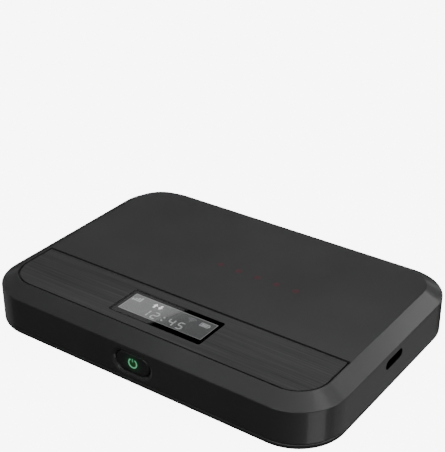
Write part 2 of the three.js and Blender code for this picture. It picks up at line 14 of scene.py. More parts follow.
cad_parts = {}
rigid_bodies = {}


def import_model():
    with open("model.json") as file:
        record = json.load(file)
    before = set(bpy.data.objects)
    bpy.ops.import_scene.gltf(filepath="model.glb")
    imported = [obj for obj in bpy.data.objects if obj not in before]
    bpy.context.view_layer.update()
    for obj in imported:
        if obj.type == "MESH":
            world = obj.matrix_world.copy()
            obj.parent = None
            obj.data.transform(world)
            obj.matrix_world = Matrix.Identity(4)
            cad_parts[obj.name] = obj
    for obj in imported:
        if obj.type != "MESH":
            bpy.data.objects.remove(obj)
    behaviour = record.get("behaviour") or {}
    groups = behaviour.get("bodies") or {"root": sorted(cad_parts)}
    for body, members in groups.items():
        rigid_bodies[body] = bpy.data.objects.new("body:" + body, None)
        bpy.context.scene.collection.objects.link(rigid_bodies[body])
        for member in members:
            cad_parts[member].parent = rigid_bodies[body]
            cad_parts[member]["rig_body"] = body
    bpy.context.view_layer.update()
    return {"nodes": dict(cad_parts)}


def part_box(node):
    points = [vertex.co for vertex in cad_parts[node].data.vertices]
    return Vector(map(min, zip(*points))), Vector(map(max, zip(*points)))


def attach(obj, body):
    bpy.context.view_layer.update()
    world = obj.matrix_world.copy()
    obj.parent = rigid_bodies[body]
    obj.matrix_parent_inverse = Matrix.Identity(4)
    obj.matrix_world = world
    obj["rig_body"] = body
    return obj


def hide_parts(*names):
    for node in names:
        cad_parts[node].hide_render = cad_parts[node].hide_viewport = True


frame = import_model()

MM = 0.001


def box_mm(node):
    """The low and high corners of a CAD node's box, in millimetres."""
    low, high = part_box(node)
    return [v / MM for v in low], [v / MM for v in high]


# ---------- dimensions, in millimetres ----------
COVER_LOW, COVER_HIGH = box_mm("top_cover")
LENGTH = COVER_HIGH[0] - COVER_LOW[0]
WIDTH = COVER_HIGH[1] - COVER_LOW[1]
TOP_Z = COVER_HIGH[2]
SEAM_Z = COVER_LOW[2]
SKIN = 0.015  # the panel lies this far below the highest point, for the printed dots
PANEL_Z = TOP_Z - SKIN
CORNER_RADIUS = 13.4
CHAMFER_WIDTH = 4.45
CHAMFER_HEIGHT = 2.5
WALL = 1.6
CEILING_Z = 11.85  # inside of the top panel
POCKET_Z = 12.65  # floor of the strip's pocket
DECK_TOP = 2.5  # upper face of the inner chassis's deck
CORNER_STEPS = 24

POCKET_EDGE = 0.15  # the strip's pocket starts this far in from the chamfer
STRIP_GROOVE = 0.55  # open groove round the strip
STRIP_DEPTH = 18.5
STRIP_FRONT = -WIDTH / 2 + CHAMFER_WIDTH
STRIP_BACK = STRIP_FRONT + STRIP_DEPTH
DISPLAY_Y = (STRIP_FRONT + STRIP_BACK) / 2
DISPLAY_HOLE = (27.4, 9.2)
WINDOW = (28.5, 11.1)
WINDOW_CORNER = 0.5
SCREEN = (26.2, 7.8)
SCREEN_Y = DISPLAY_Y + 0.5

BUTTON_X, BUTTON_Z = -0.5, 6.2
BUTTON = (10.7, 5.5)
CAP_MARGIN = 0.12  # the visible cap is this much smaller all round, for a dark gap
DISH = (13.0, 7.1)
DISH_DEPTH = 0.7
PORT_Y, PORT_Z = -0.1, 8.0
PORT_OPENING = (8.6, 2.7)
PORT_SHELL = (8.94, 3.2)
PORT_TONGUE = (6.7, 0.7)
SCREWS = [(-36, -32), (22, -32), (-36, 32), (22, 32), (43.5, -24), (43.5, 24)]
BOSS_RADIUS = 2.2
PILOT_RADIUS, PILOT_TOP = 0.9, 8.3  # the hole in a boss

AWAY = 5.0  # the last point of a filleted path gives only a direction: this is how far off it lies
CLEAR = 2.0  # a cutting tool reaches this far past the face that it cuts

# ---------- outlines and solids ----------


def moved(points, x, y):
    return [(px + x, py + y) for px, py in points]


def arc(radius, start, end, steps):
    """Points from one angle to another, in degrees."""
    angles = [math.radians(start + (end - start) * i / steps) for i in range(steps + 1)]
    return [(radius * math.cos(a), radius * math.sin(a)) for a in angles]


def circle(radius, sides=32):
    return arc(radius, 0, 360, sides)[:-1]


def rectangle(x0, x1, y0, y1):
    return [(x0, y0), (x1, y0), (x1, y1), (x0, y1)]


def rounded_rect(length, depth, radius, steps=8):
    """Counter-clockwise points of a rectangle with round corners."""
    x, y = length / 2 - radius, depth / 2 - radius
    points = []
    for sx, sy, start in ((1, 1, 0), (-1, 1, 90), (-1, -1, 180), (1, -1, 270)):
        points += moved(arc(radius, start, start + 90, steps), sx * x, sy * y)
    return points


def case_outline(inset, steps=CORNER_STEPS):
    """The case seen from above, this far in from its widest outline."""
    radius = max(CORNER_RADIUS - inset, 0.4)
    return rounded_rect(LENGTH - 2 * inset, WIDTH - 2 * inset, radius, steps)


def strip_outline(inset, back, back_radius=0.15):
    """The strip's outline: large round corners at the front, tiny ones at the back."""
    x = LENGTH / 2 - CHAMFER_WIDTH - inset
    front = STRIP_FRONT + inset
    radius = CORNER_RADIUS - CHAMFER_WIDTH - inset
    points = []
    for sx, sy, start, r in ((1, 1, 0, back_radius), (-1, 1, 90, back_radius),
                             (-1, -1, 180, radius), (1, -1, 270, radius)):
        centre_y = back - r if sy > 0 else front + r
        points += moved(arc(r, start, start + 90, CORNER_STEPS), sx * (x - r), centre_y)
    return points


def grown_window(offset):
    """The window's outline, grown all round by the offset."""
    return rounded_rect(WINDOW[0] + 2 * offset, WINDOW[1] + 2 * offset, WINDOW_CORNER + offset, 8)


def pill(length, height, offset=0.0):
    """An outline with straight sides and half-round ends, grown all round by the offset."""
    height += 2 * offset
    return rounded_rect(length + 2 * offset, height, height / 2, 14)


def ring_sector(radius, width, start, end, steps):
    """The outline of a part of a ring, between two angles in degrees."""
    return arc(radius + width / 2, start, end, steps) + arc(radius - width / 2, end, start, steps)


def fillet(path, radii, steps=6):
    """A polyline with its inner corners replaced by arcs. radii has one value per inner corner."""
    result = [path[0]]
    for before, corner, after, radius in zip(path, path[1:], path[2:], radii):
        tip = Vector(corner)
        backward = (Vector(before) - tip).normalized()
        forward = (Vector(after) - tip).normalized()
        half = backward.angle(forward) / 2
        reach = radius / math.tan(half)
        centre = tip + (backward + forward).normalized() * (radius / math.sin(half))
        start = tip + backward * reach - centre
        end = tip + forward * reach - centre
        total = start.angle_signed(end)
        for i in range(steps + 1):
            turn = -total * i / steps
            c, s = math.cos(turn), math.sin(turn)
            result.append((centre.x + start.x * c - start.y * s,
                           centre.y + start.x * s + start.y * c))
    result.append(path[-1])
    return result


def loft(rings, place=None):
    """A closed mesh through rings of equal point count, from low to high: [(points, height), ...]."""
    bm = bmesh.new()
    loops = [[bm.verts.new((x, y, height)) for x, y in points] for points, height in rings]
    count = len(loops[0])
    for low, high in zip(loops, loops[1:]):
        for i in range(count):
            j = (i + 1) % count
            bm.faces.new((low[i], low[j], high[j], high[i]))
    bm.faces.new(list(reversed(loops[0])))
    bm.faces.new(loops[-1])
    if place is not None:
        bm.transform(place)
    bmesh.ops.recalc_face_normals(bm, faces=bm.faces)
    mesh = bpy.data.meshes.new("solid")
    bm.to_mesh(mesh)
    bm.free()
    return mesh


def plate(points, low, high, place=None):
    """A flat plate with sharp edges."""
    return loft([(points, low), (points, high)], place)


def prism(outline, low, high, edge, place=None, steps=3):
    """A flat plate with a rounded upper edge. outline takes an inset."""
    path = fillet([(0, low), (0, high), (AWAY, high)], [edge], steps)[:-1]
    return loft([(outline(inset), z) for inset, z in path], place)


def slab(x0, x1, y0, y1, z0, z1, edge=0.0):
    """A block. With an edge radius, its upright edges and its top edge are rounded."""
    if edge <= 0:
        return plate(rectangle(x0, x1, y0, y1), z0, z1)
    length, depth = x1 - x0, y1 - y0

    def outline(inset):
        radius = max(edge * 1.2 - inset, 0.01)
        return rounded_rect(length - 2 * inset, depth - 2 * inset, radius, 4)

    return prism(outline, z0, z1, edge, Matrix.Translation(((x0 + x1) / 2, (y0 + y1) / 2, 0)))


def block(x, y, length, depth, low, high, edge=0.0):
    """A slab given by its middle and its size."""
    return slab(x - length / 2, x + length / 2, y - depth / 2, y + depth / 2, low, high, edge)


def rod(x, y, radius, z0, z1, sides=32):
    return plate(circle(radius, sides), z0, z1, Matrix.Translation((x, y, 0)))


def mouth(outline, path, place):
    """A cutting tool that follows a path of (offset, height) and then reaches out of the face."""
    rings = [(outline(offset), height) for offset, height in path]
    rings.append((outline(path[-1][0]), CLEAR))
    return loft(rings, place)


def rim(outline, depth, radius, place):
    """A cutting tool for a hole whose mouth has a rounded edge. outline takes an offset."""
    return mouth(outline, fillet([(0, -depth), (0, 0), (AWAY, 0)], [radius], 6)[:-1], place)


def front_place(z, y=-WIDTH / 2):
    """Local x, y and z become X, Z and outwards from the front wall, in line with the button."""
    return Matrix(((1, 0, 0, BUTTON_X), (0, 0, -1, y), (0, 1, 0, z), (0, 0, 0, 1)))


def port_place(x):
    """Local x, y and z become Y, Z and outwards from the side with the port."""
    return Matrix(((0, 0, 1, x), (1, 0, 0, PORT_Y), (0, 1, 0, PORT_Z), (0, 0, 0, 1)))


def temporary(mesh):
    """An object that holds a mesh while its modifiers are applied."""
    obj = bpy.data.objects.new("temporary", mesh)
    bpy.context.scene.collection.objects.link(obj)
    return obj


def remove(obj):
    mesh = obj.data
    bpy.data.objects.remove(obj)
    bpy.data.meshes.remove(mesh)


def applied(obj):
    """The mesh of a temporary object with its modifiers applied. The object is removed."""
    bpy.context.view_layer.update()
    depsgraph = bpy.context.evaluated_depsgraph_get()
    result = bpy.data.meshes.new_from_object(obj.evaluated_get(depsgraph))
    remove(obj)
    return result


def combine(base, add=(), cut=()):
    """Joins and cuts closed meshes, and returns the result as a new mesh."""
    body = temporary(base)
    tools = []
    for meshes, operation in ((add, "UNION"), (cut, "DIFFERENCE")):
        for mesh in meshes:
            tool = temporary(mesh)
            tools.append(tool)
            modifier = body.modifiers.new("combine", "BOOLEAN")
            modifier.operation = operation
            modifier.object = tool
            modifier.solver = "MANIFOLD"
    result = applied(body)
    for tool in tools:
        remove(tool)
    return result


def merge(*meshes):
    """Several separate meshes in one."""
    bm = bmesh.new()
    for mesh in meshes:
        bm.from_mesh(mesh)
        bpy.data.meshes.remove(mesh)
    result = bpy.data.meshes.new("merged")
    bm.to_mesh(result)
    bm.free()
    return result


def clean(mesh):
    """Merges points that nearly touch and removes edges and faces without a size."""
    near = 0.002
    bm = bmesh.new()
    bm.from_mesh(mesh)
    bmesh.ops.remove_doubles(bm, verts=bm.verts, dist=near)
    bmesh.ops.dissolve_degenerate(bm, edges=bm.edges, dist=near / 2)
    bm.to_mesh(mesh)
    bm.free()
    return mesh


def add_piece(name, mesh, body, material, replaces=(), sharp=32, weighted=True):
    """Turns a mesh in millimetres into a piece that rides on a body.

    material is a name in MATERIALS, and sharp the angle in degrees from which an edge looks sharp.
    """
    mesh.transform(Matrix.Scale(MM, 4))
    mesh.name = name
    mesh.materials.clear()
    mesh.materials.append(MATERIALS[material])
    mesh.shade_smooth()
    mesh.set_sharp_from_angle(angle=math.radians(sharp))
    obj = bpy.data.objects.new(name, mesh)
    bpy.context.scene.collection.objects.link(obj)
    if weighted:
        modifier = obj.modifiers.new("normals", "WEIGHTED_NORMAL")
        modifier.keep_sharp = True
    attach(obj, body)
    if replaces:
        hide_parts(*replaces)


def refine(node, material, edge):
    """Replaces a CAD node with a copy whose sharp edges are rounded by a bevel of this width."""
    source = frame["nodes"][node]
    bm = bmesh.new()
    bm.from_mesh(source.data)
    bm.transform(Matrix.Scale(1 / MM, 4))
    bmesh.ops.remove_doubles(bm, verts=bm.verts, dist=0.001)
    bmesh.ops.dissolve_limit(bm, angle_limit=math.radians(1), verts=bm.verts, edges=bm.edges,
                             use_dissolve_boundaries=False)
    mesh = bpy.data.meshes.new(node)
    bm.to_mesh(mesh)
    bm.free()
    holder = temporary(mesh)
    bevel = holder.modifiers.new("edges", "BEVEL")
    bevel.limit_method = "ANGLE"
    bevel.angle_limit = math.radians(35)
    bevel.width = edge
    bevel.segments = 2
    bevel.use_clamp_overlap = True
    add_piece("fine_" + node, applied(holder), source["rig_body"], material, (node,),
              sharp=40)


# ---------- materials ----------


def shades(color, darker, lighter):
    """A darker and a lighter version of a colour."""
    return [tuple(c * factor for c in color) for factor in (darker, lighter)]


class Surface:
    """A principled material with small helpers for its nodes."""

    def __init__(self, name, color, roughness, metallic=0.0, specular=0.5):
        self.material = bpy.data.materials.new(name)
        self.material.use_nodes = True
        self.nodes = self.material.node_tree.nodes
        self.links = self.material.node_tree.links
        self.shader = self.nodes["Principled BSDF"]
        self.set("Base Color", color).set("Roughness", roughness)
        self.set("Metallic", metallic).set("Specular IOR Level", specular)
        self.coordinates = self.nodes.new("ShaderNodeTexCoord").outputs["Object"]

    def mapped(self, stretch):
        """The object's own coordinates, scaled along each axis."""
        node = self.nodes.new("ShaderNodeMapping")
        node.inputs["Scale"].default_value = stretch
        self.links.new(self.coordinates, node.inputs["Vector"])
        return node.outputs["Vector"]

    def noise(self, scale, detail=3.0, stretch=(1, 1, 1), roughness=0.5):
        """Cloudy values around 0.5, with this many waves in a metre."""
        node = self.nodes.new("ShaderNodeTexNoise")
        node.inputs["Scale"].default_value = scale
        node.inputs["Detail"].default_value = detail
        node.inputs["Roughness"].default_value = roughness
        self.links.new(self.mapped(stretch), node.inputs["Vector"])
        return node.outputs["Fac"]

    def ramp(self, fac, stops):
        """Turns a value into a grey or a colour. stops are (position, value or colour)."""
        node = self.nodes.new("ShaderNodeValToRGB")
        elements = node.color_ramp.elements
        while len(elements) < len(stops):
            elements.new(0.5)
        for element, (position, value) in zip(elements, stops):
            element.position = position
            color = (value,) * 3 if isinstance(value, (int, float)) else value
            element.color = (*color, 1)
        self.links.new(fac, node.inputs["Fac"])
        return node.outputs["Color"]

    def feed(self, socket, value):
        """Gives a socket a number, a colour or another node's output."""
        if isinstance(value, (int, float)):
            socket.default_value = value
        elif isinstance(value, tuple):
            socket.default_value = (*value, 1)
        else:
            self.links.new(value, socket)

    def maths(self, operation, *values):
        node = self.nodes.new("ShaderNodeMath")
        node.operation = operation
        for socket, value in zip(node.inputs, values):
            self.feed(socket, value)
        return node.outputs["Value"]

    def mix(self, fac, first, second):
        """A blend of two colours."""
        node = self.nodes.new("ShaderNodeMix")
        node.data_type = "RGBA"
        self.feed(node.inputs["Factor"], fac)
        for name, value in (("A", first), ("B", second)):
            socket = next(s for s in node.inputs if s.name == name and s.type == "RGBA")
            self.feed(socket, value)
        return next(s for s in node.outputs if s.type == "RGBA")

    def set(self, name, value):
        """Sets one input of the shader. Calls can follow one another."""
        self.feed(self.shader.inputs[name], value)
        return self

    def bump(self, height, depth_mm, strength=1.0):
        """Raises the surface by the height value, up to a depth."""
        node = self.nodes.new("ShaderNodeBump")
        node.inputs["Distance"].default_value = depth_mm * MM
        node.inputs["Strength"].default_value = strength
        self.links.new(height, node.inputs["Height"])
        self.links.new(node.outputs["Normal"], self.shader.inputs["Normal"])
        return self


def moulded(name, color, roughness, specular, grain_mm, depth_mm):
    """Moulded plastic with an even spark-eroded grain and slight variation. Returns the Surface."""
    s = Surface(name, color, roughness, specular=specular)
    grain = s.noise(1 / (grain_mm * MM), 2.0)
    cloud = s.noise(60, 4.0)
    dark, light = shades(color, 0.9, 1.12)
    s.set("Base Color", s.ramp(cloud, [(0.3, dark), (0.7, light)]))
    grain_part, cloud_part = 0.08, 0.06  # how much each one changes the roughness
    blend = s.maths("ADD", s.maths("MULTIPLY", grain, grain_part),
                    s.maths("MULTIPLY", cloud, cloud_part))
    s.set("Roughness", s.maths("ADD", blend, roughness - (grain_part + cloud_part) / 2))
    return s.bump(grain, depth_mm)


def case_plastic():
    """Satin black: a grained body under a thin, smoother lacquer."""
    s = moulded("case_plastic", (0.029, 0.029, 0.0295), 0.5, 0.3, 0.3, 0.005)
    s.set("Coat Weight", 0.35).set("Coat Roughness", 0.16)
    return s.material


def brushed_strip():
    """Fine streaks of uneven length along X. The light ones are slightly raised and glossier."""
    s = Surface("brushed_strip", (0.03, 0.03, 0.031), 0.45, specular=0.35)
    fine = s.noise(1.0, 4.0, (35, 4200, 1), 0.62)
    broad = s.noise(1.0, 3.0, (22, 1900, 1), 0.5)
    streak = s.maths("ADD", s.maths("MULTIPLY", fine, 0.55), s.maths("MULTIPLY", broad, 0.45))
    s.set("Base Color", s.ramp(streak, [
        (0.38, (0.0155, 0.0155, 0.016)), (0.47, (0.0265, 0.0265, 0.0275)),
        (0.55, (0.034, 0.034, 0.035)), (0.64, (0.0495, 0.0495, 0.051))]))
    s.set("Roughness", s.ramp(streak, [(0.35, 0.5), (0.65, 0.42)]))
    s.set("Anisotropic", 0.4)
    s.bump(streak, 0.012, 0.7)
    return s.material


def window_glass():
    """Clear glass with faint smudges."""
    s = Surface("window_glass", (0.98, 0.985, 0.985), 0.02)
    smudge = s.noise(180, 3.0)
    s.set("Roughness", s.ramp(smudge, [(0.45, 0.012), (0.8, 0.05)]))
    s.set("Transmission Weight", 1.0)
    s.set("IOR", 1.5)
    return s.material


def printed_ink(name, color, roughness, specular):
    """An even layer of ink with tiny specks in its gloss."""
    s = Surface(name, color, roughness, specular=specular)
    speck = s.noise(4000, 2.0)
    s.set("Roughness", s.ramp(speck, [(0.3, roughness * 0.8), (0.7, roughness * 1.2)]))
    return s.material


def lit_screen(name, color, strength):
    """A display surface that glows with a grain as fine as its pixels, and has a mirror-like gloss."""
    s = Surface(name, (0.004, 0.004, 0.004), 0.08)
    s.set("IOR", 4.2)
    grain = s.noise(1.0, 0.0, (9000, 9000, 1))
    dark, light = shades(color, 0.92, 1.06)
    s.set("Emission Color", s.ramp(grain, [(0.35, dark), (0.65, light)]))
    s.set("Emission Strength", strength)
    return s.material


def symbol_light(name, strength):
    """Translucent green plastic, lit from behind."""
    s = Surface(name, (0.05, 0.14, 0.09), 0.4)
    glow = s.noise(900, 1.0)
    s.set("Emission Color", s.ramp(glow, [(0.3, (0.12, 0.46, 0.24)), (0.7, (0.20, 0.58, 0.33))]))
    s.set("Emission Strength", strength)
    return s.material


def button_plastic():
    """The cap's plastic, with a faint green light that bleeds out around the symbol."""
    s = moulded("button_plastic", (0.024, 0.024, 0.0245), 0.42, 0.4, 0.25, 0.004)
    split = s.nodes.new("ShaderNodeSeparateXYZ")
    s.links.new(s.coordinates, split.inputs["Vector"])
    dx = s.maths("SUBTRACT", s.maths("MULTIPLY", split.outputs["X"], 1 / MM), BUTTON_X)
    dz = s.maths("SUBTRACT", s.maths("MULTIPLY", split.outputs["Z"], 1 / MM), BUTTON_Z)
    distance = s.maths("SQRT", s.maths("ADD", s.maths("POWER", dx, 2.0), s.maths("POWER", dz, 2.0)))
    halo_reach = 4.0
    halo = s.ramp(s.maths("DIVIDE", distance, halo_reach), [
        (0.0, (0.0, 0.034, 0.002)), (0.30, (0.0, 0.034, 0.003)),
        (0.46, (0.0, 0.010, 0.003)), (0.75, (0.0, 0.0, 0.0))])
    s.set("Emission Color", halo)
    s.set("Emission Strength", 1.0)
    return s.material


def metal_sheet(name, color, roughness, grain=(40, 1200, 1200)):
    """Rolled metal with fine streaks and slight clouds. grain is the streaks' stretch."""
    s = Surface(name, color, roughness, metallic=1.0)
    streak = s.noise(1.0, 3.0, grain)
    cloud = s.noise(150, 3.0)
    s.set("Roughness", s.ramp(streak, [(0.3, roughness * 0.75), (0.7, roughness * 1.3)]))
    dark, light = shades(color, 0.82, 1.05)
    s.set("Base Color", s.ramp(cloud, [(0.3, dark), (0.7, light)]))
    return s.bump(streak, 0.002).material


def circuit_board():
    """Green solder mask, in patches over a pattern of copper tracks."""
    s = Surface("circuit_board", (0.01, 0.07, 0.03), 0.3)
    brick = s.nodes.new("ShaderNodeTexBrick")
    for name, value in (
            ("Scale", 1.0), ("Mortar Size", 0.16), ("Brick Width", 7.0), ("Row Height", 1.0),
            ("Color1", (0.008, 0.065, 0.028)), ("Color2", (0.012, 0.085, 0.036)),
            ("Mortar", (0.03, 0.16, 0.065)), ("Vector", s.mapped((900, 900, 900)))):
        s.feed(brick.inputs[name], value)
    cloud = s.noise(90, 2.0)
    s.set("Base Color", s.mix(s.ramp(cloud, [(0.45, 0.0), (0.55, 1.0)]),
                              (0.009, 0.072, 0.03), brick.outputs["Color"]))
    s.bump(brick.outputs["Fac"], 0.01, 0.5)
    return s.material


def soft_foam(name, color):
    """A dull surface of small open cells."""
    s = Surface(name, color, 0.95, specular=0.2)
    cells = s.nodes.new("ShaderNodeTexVoronoi")
    cells.inputs["Scale"].default_value = 2600
    s.links.new(s.coordinates, cells.inputs["Vector"])
    dark, light = shades(color, 0.6, 1.25)
    s.set("Base Color", s.ramp(cells.outputs["Distance"], [(0.1, dark), (0.6, light)]))
    return s.bump(cells.outputs["Distance"], 0.05).material


def polyimide():
    """Amber film with copper lines side by side under it."""
    s = Surface("polyimide", (0.35, 0.13, 0.02), 0.3)
    lines = s.nodes.new("ShaderNodeTexWave")
    lines.bands_direction = "Y"
    lines.inputs["Scale"].default_value = 480
    s.links.new(s.coordinates, lines.inputs["Vector"])
    s.set("Base Color", s.ramp(lines.outputs["Fac"], [
        (0.45, (0.30, 0.11, 0.015)), (0.55, (0.55, 0.24, 0.05))]))
    return s.bump(lines.outputs["Fac"], 0.01).material


MATERIALS = {
    "case": case_plastic(),
    "strip": brushed_strip(),
    "glass": window_glass(),
    # The black print also colours the port's lining, where it is painted shade.
    "border": printed_ink("black_print", (0.0012, 0.0012, 0.0012), 0.8, 0.0),
    "screen": lit_screen("screen_ground", (0.094, 0.095, 0.096), 1.0),
    "icons": lit_screen("screen_icons", (0.40, 0.41, 0.41), 1.0),
    "icons_bright": lit_screen("screen_icons_bright", (1.0, 1.0, 1.0), 1.1),
    "icons_dim": lit_screen("screen_icons_dim", (0.17, 0.175, 0.175), 1.0),
    "outline": lit_screen("screen_outline", (0.27, 0.275, 0.275), 1.0),
    "symbol": symbol_light("symbol_light", 0.75),
    "symbol_stem": symbol_light("symbol_stem_light", 0.4),
    "button": button_plastic(),
    "dots": printed_ink("red_print", (0.055, 0.021, 0.027), 0.5, 0.3),
    "chassis": moulded("chassis_plastic", (0.018, 0.018, 0.019), 0.55, 0.4, 0.45, 0.01).material,
    "ceramic": moulded("capacitor_ceramic", (0.28, 0.17, 0.09), 0.4, 0.5, 0.1, 0.002).material,
    "chip": moulded("chip_epoxy", (0.012, 0.012, 0.0125), 0.5, 0.4, 0.15, 0.004).material,
    "end_cap": moulded("end_cap_plastic", (0.006, 0.006, 0.0065), 0.4, 0.5, 0.3, 0.005).material,
    "wrap": moulded("battery_film", (0.02, 0.024, 0.029), 0.3, 0.5, 1.4, 0.012).material,
    "label": moulded("battery_label", (0.62, 0.63, 0.64), 0.45, 0.4, 0.8, 0.004).material,
    "label_ink": moulded("battery_label_ink", (0.03, 0.03, 0.035), 0.45, 0.4, 0.8, 0.002).material,
    "sim": moulded("sim_plastic", (0.72, 0.74, 0.76), 0.35, 0.5, 0.5, 0.002).material,
    "pad": soft_foam("thermal_silicone", (0.27, 0.31, 0.37)),
    "foam": soft_foam("black_foam", (0.022, 0.022, 0.024)),
    "flex": polyimide(),
    "board": circuit_board(),
    "sheet": metal_sheet("nickel_sheet", (0.62, 0.62, 0.63), 0.32),
    # The port's steel has a near-black colour: painted shade for the inside of the port, which lies in
    # shadow.
    "port": metal_sheet("port_steel", (0.0045, 0.0045, 0.0048), 0.45),
    "gold": metal_sheet("gold_plate", (0.83, 0.58, 0.22), 0.25),
    "copper": metal_sheet("copper_foil", (0.72, 0.36, 0.20), 0.3, (300, 1200, 1200)),
    "screw": metal_sheet("screw_zinc", (0.26, 0.26, 0.28), 0.32, (500, 500, 500)),
}

# ---------- casing ----------


def case_body():
    """The outside of the top cover as a full solid: rounded seam, wall, chamfer and flat top."""
    seam_radius, crease_radius, panel_radius = 0.3, 0.35, 0.4
    path = fillet(
        [(0.5, SEAM_Z), (0.0, SEAM_Z), (0.0, TOP_Z - CHAMFER_HEIGHT), (CHAMFER_WIDTH, PANEL_Z),
         (CHAMFER_WIDTH + AWAY, PANEL_Z)],
        [seam_radius, crease_radius, panel_radius], 7)[:-1]
    return loft([(case_outline(inset), z) for inset, z in path])


def case_hollow():
    """The space inside the top cover, with a slope that follows the chamfer."""
    drop = 0.9  # the straight inner wall ends this far below the chamfer
    shoulder = TOP_Z - CHAMFER_HEIGHT - drop
    ceiling_inset = WALL + (CEILING_Z - shoulder) * CHAMFER_WIDTH / CHAMFER_HEIGHT
    return loft([(case_outline(inset, 16), z) for inset, z in (
        (WALL, SEAM_Z - 1), (WALL, shoulder), (ceiling_inset, CEILING_Z))])


def button_dish():
    """A cutting tool for the dish around the button: a rounded mouth, a slope and a steep wall."""
    knee_radius, mouth_radius = 0.12, 0.6
    path = fillet([(-0.85, -DISH_DEPTH), (-0.6, -0.26), (0, 0), (AWAY, 0)],
                  [knee_radius, mouth_radius], 6)[:-1]
    return mouth(lambda offset: pill(*DISH, offset), path, front_place(BUTTON_Z))


def pry_notch(low, high, edge):
    """A cutting tool for the fingernail's notch in the middle of the left side."""
    return slab(-LENGTH / 2 - 1, -LENGTH / 2 + 0.7, -6, 6, low, high, edge)


def top_cover():
    """One moulding: the hollow case with its pocket, openings, pry notch and screw bosses."""
    pocket = rim(lambda offset: strip_outline(POCKET_EDGE - offset, STRIP_BACK + offset),
                 PANEL_Z - POCKET_Z, 0.1, Matrix.Translation((0, 0, PANEL_Z)))
    display_hole = block(0, DISPLAY_Y, *DISPLAY_HOLE, CEILING_Z - 1, POCKET_Z + 1)
    button_play = 0.15
    button_hole = plate(pill(*BUTTON, button_play), -2 * WALL, 0.0, front_place(BUTTON_Z))
    side = port_place(LENGTH / 2)
    port_hole = rim(lambda offset: pill(*PORT_OPENING, offset), 2 * WALL, 0.12, side)
    port_seat = plate(pill(*PORT_SHELL, 0.2), -2 * WALL, -0.8, side)
    notch = pry_notch(SEAM_Z - 1, SEAM_Z + 0.5, 0.25)
    bosses = [rod(x, y, BOSS_RADIUS, DECK_TOP + 0.15, CEILING_Z + 0.3) for x, y in SCREWS]
    pilots = [rod(x, y, PILOT_RADIUS, DECK_TOP - 1, PILOT_TOP, 20) for x, y in SCREWS]
    shell = combine(case_body(), cut=[case_hollow()])
    mesh = combine(shell, add=bosses, cut=[
        pocket, display_hole, button_dish(), button_hole, port_hole, port_seat, notch, *pilots])
    add_piece("casing", clean(mesh), "housing", "case", ("top_cover",), sharp=25)


def trim_strip():
    """The brushed insert: inside the groove all round, with an opening for the window."""
    low, high = box_mm("trim_strip")
    edge = POCKET_EDGE + STRIP_GROOVE
    insert = prism(lambda inset: strip_outline(edge + inset, STRIP_BACK - STRIP_GROOVE - inset),
                   low[2], high[2], 0.12, steps=4)
    opening = rim(lambda offset: grown_window(0.1 + offset), CLEAR, 0.08,
                  Matrix.Translation((0, DISPLAY_Y, high[2])))
    add_piece("brushed_insert", clean(combine(insert, cut=[opening])), "housing", "strip",
              ("trim_strip",))


def panel_dots():
    """Five faint printed dots on the panel behind the strip."""
    radius, pitch, first, y = 1.0, 6.0, -3.5, 5.2
    dot = [(circle(radius), -0.05), (circle(radius), 0.006), (circle(radius - 0.06), 0.010)]
    dots = [loft(dot, Matrix.Translation((first + pitch * i, y, PANEL_Z))) for i in range(5)]
    add_piece("panel_dots", merge(*dots), "housing", "dots")


def cover_lip(inside, floor):
    """The upright lip that seats inside the case's wall, with a snap hook every 20 mm."""
    gap, taper = 0.2, 0.2
    top, taper_start = DECK_TOP - 0.1, 2.2
    outer = loft([(case_outline(WALL + gap), floor + 0.1), (case_outline(WALL + gap), taper_start),
                  (case_outline(WALL + gap + taper), top)])
    hook_length, hook_depth, hook_low, hook_high = 4.0, 0.28, 1.75, 2.15
    hooks = []
    for x in (-30, -10, 10, 30):
        for side in (-1, 1):
            y = side * (WIDTH / 2 - WALL - gap)
            hooks.append(block(x, y, hook_length, hook_depth, hook_low, hook_high))
    return [combine(outer, cut=[plate(inside, floor - 0.5, top + 1)]), *hooks]


def cover_ribs(floor):
    """Low ribs on the cover's inner face: along the battery, and across beside it."""
    thickness, root, edge = 0.8, floor - 0.1, 0.1
    ribs = [block(-14.5, y, 55, thickness, root, floor + 0.22, edge) for y in (-22, -14, 14, 22)]
    return ribs + [block(x, 0, thickness, 52, root, floor + 0.12, edge) for x in (22, 30, 38)]


def back_cover():
    """A tray with a rounded lower edge and a thin raised rim, a lip, ribs and round mould marks."""
    floor = box_mm("battery_pressure_pad")[0][2] - 0.05
    rim_top = SEAM_Z - 0.15
    lower_radius, rim_radius = 1.1, 0.28
    path = fillet([(2.5, 0.0), (0.0, 0.0), (0.0, rim_top), (AWAY, rim_top)],
                  [lower_radius, rim_radius], 9)[:-1]
    inside = case_outline(WALL + 1.1)
    tray = combine(loft([(case_outline(inset), z) for inset, z in path]),
                   cut=[plate(inside, floor, rim_top + 1)])
    mark_radius, mark_depth = 1.5, 0.08
    marks = [rod(x, y, mark_radius, floor - mark_depth, floor + 1)
             for x in (-40, 12, 44) for y in (-9, 9)]
    mesh = combine(tray, add=[*cover_lip(inside, floor), *cover_ribs(floor)],
                   cut=[pry_notch(rim_top - 0.45, rim_top + 1, 0.2), *marks])
    add_piece("rear_cover", clean(mesh), "back_cover", "case", ("back_cover",), sharp=25)


# ---------- display ----------


# Figures on the screen are placed by (u, v): to the right of and above the screen's middle.
FIGURE_THICKNESS = 0.02


def on_screen(inset, radius):
    """The screen's outline, in the case's frame."""
    points = rounded_rect(SCREEN[0] - 2 * inset, SCREEN[1] - 2 * inset, radius, 8)
    return moved(points, 0, SCREEN_Y)


def ring_plate(outer, inner, low, high):
    """A flat plate with an opening."""
    return combine(plate(outer, low, high), cut=[plate(inner, low - 1, high + 1)])


def polygon(points, u, v, z):
    """A flat figure on the screen, given by counter-clockwise points around (u, v)."""
    return plate(points, 0, FIGURE_THICKNESS, Matrix.Translation((u, SCREEN_Y + v, z)))


def bar(u, v, length, height, z):
    return polygon(rectangle(-length / 2, length / 2, -height / 2, height / 2), u, v, z)


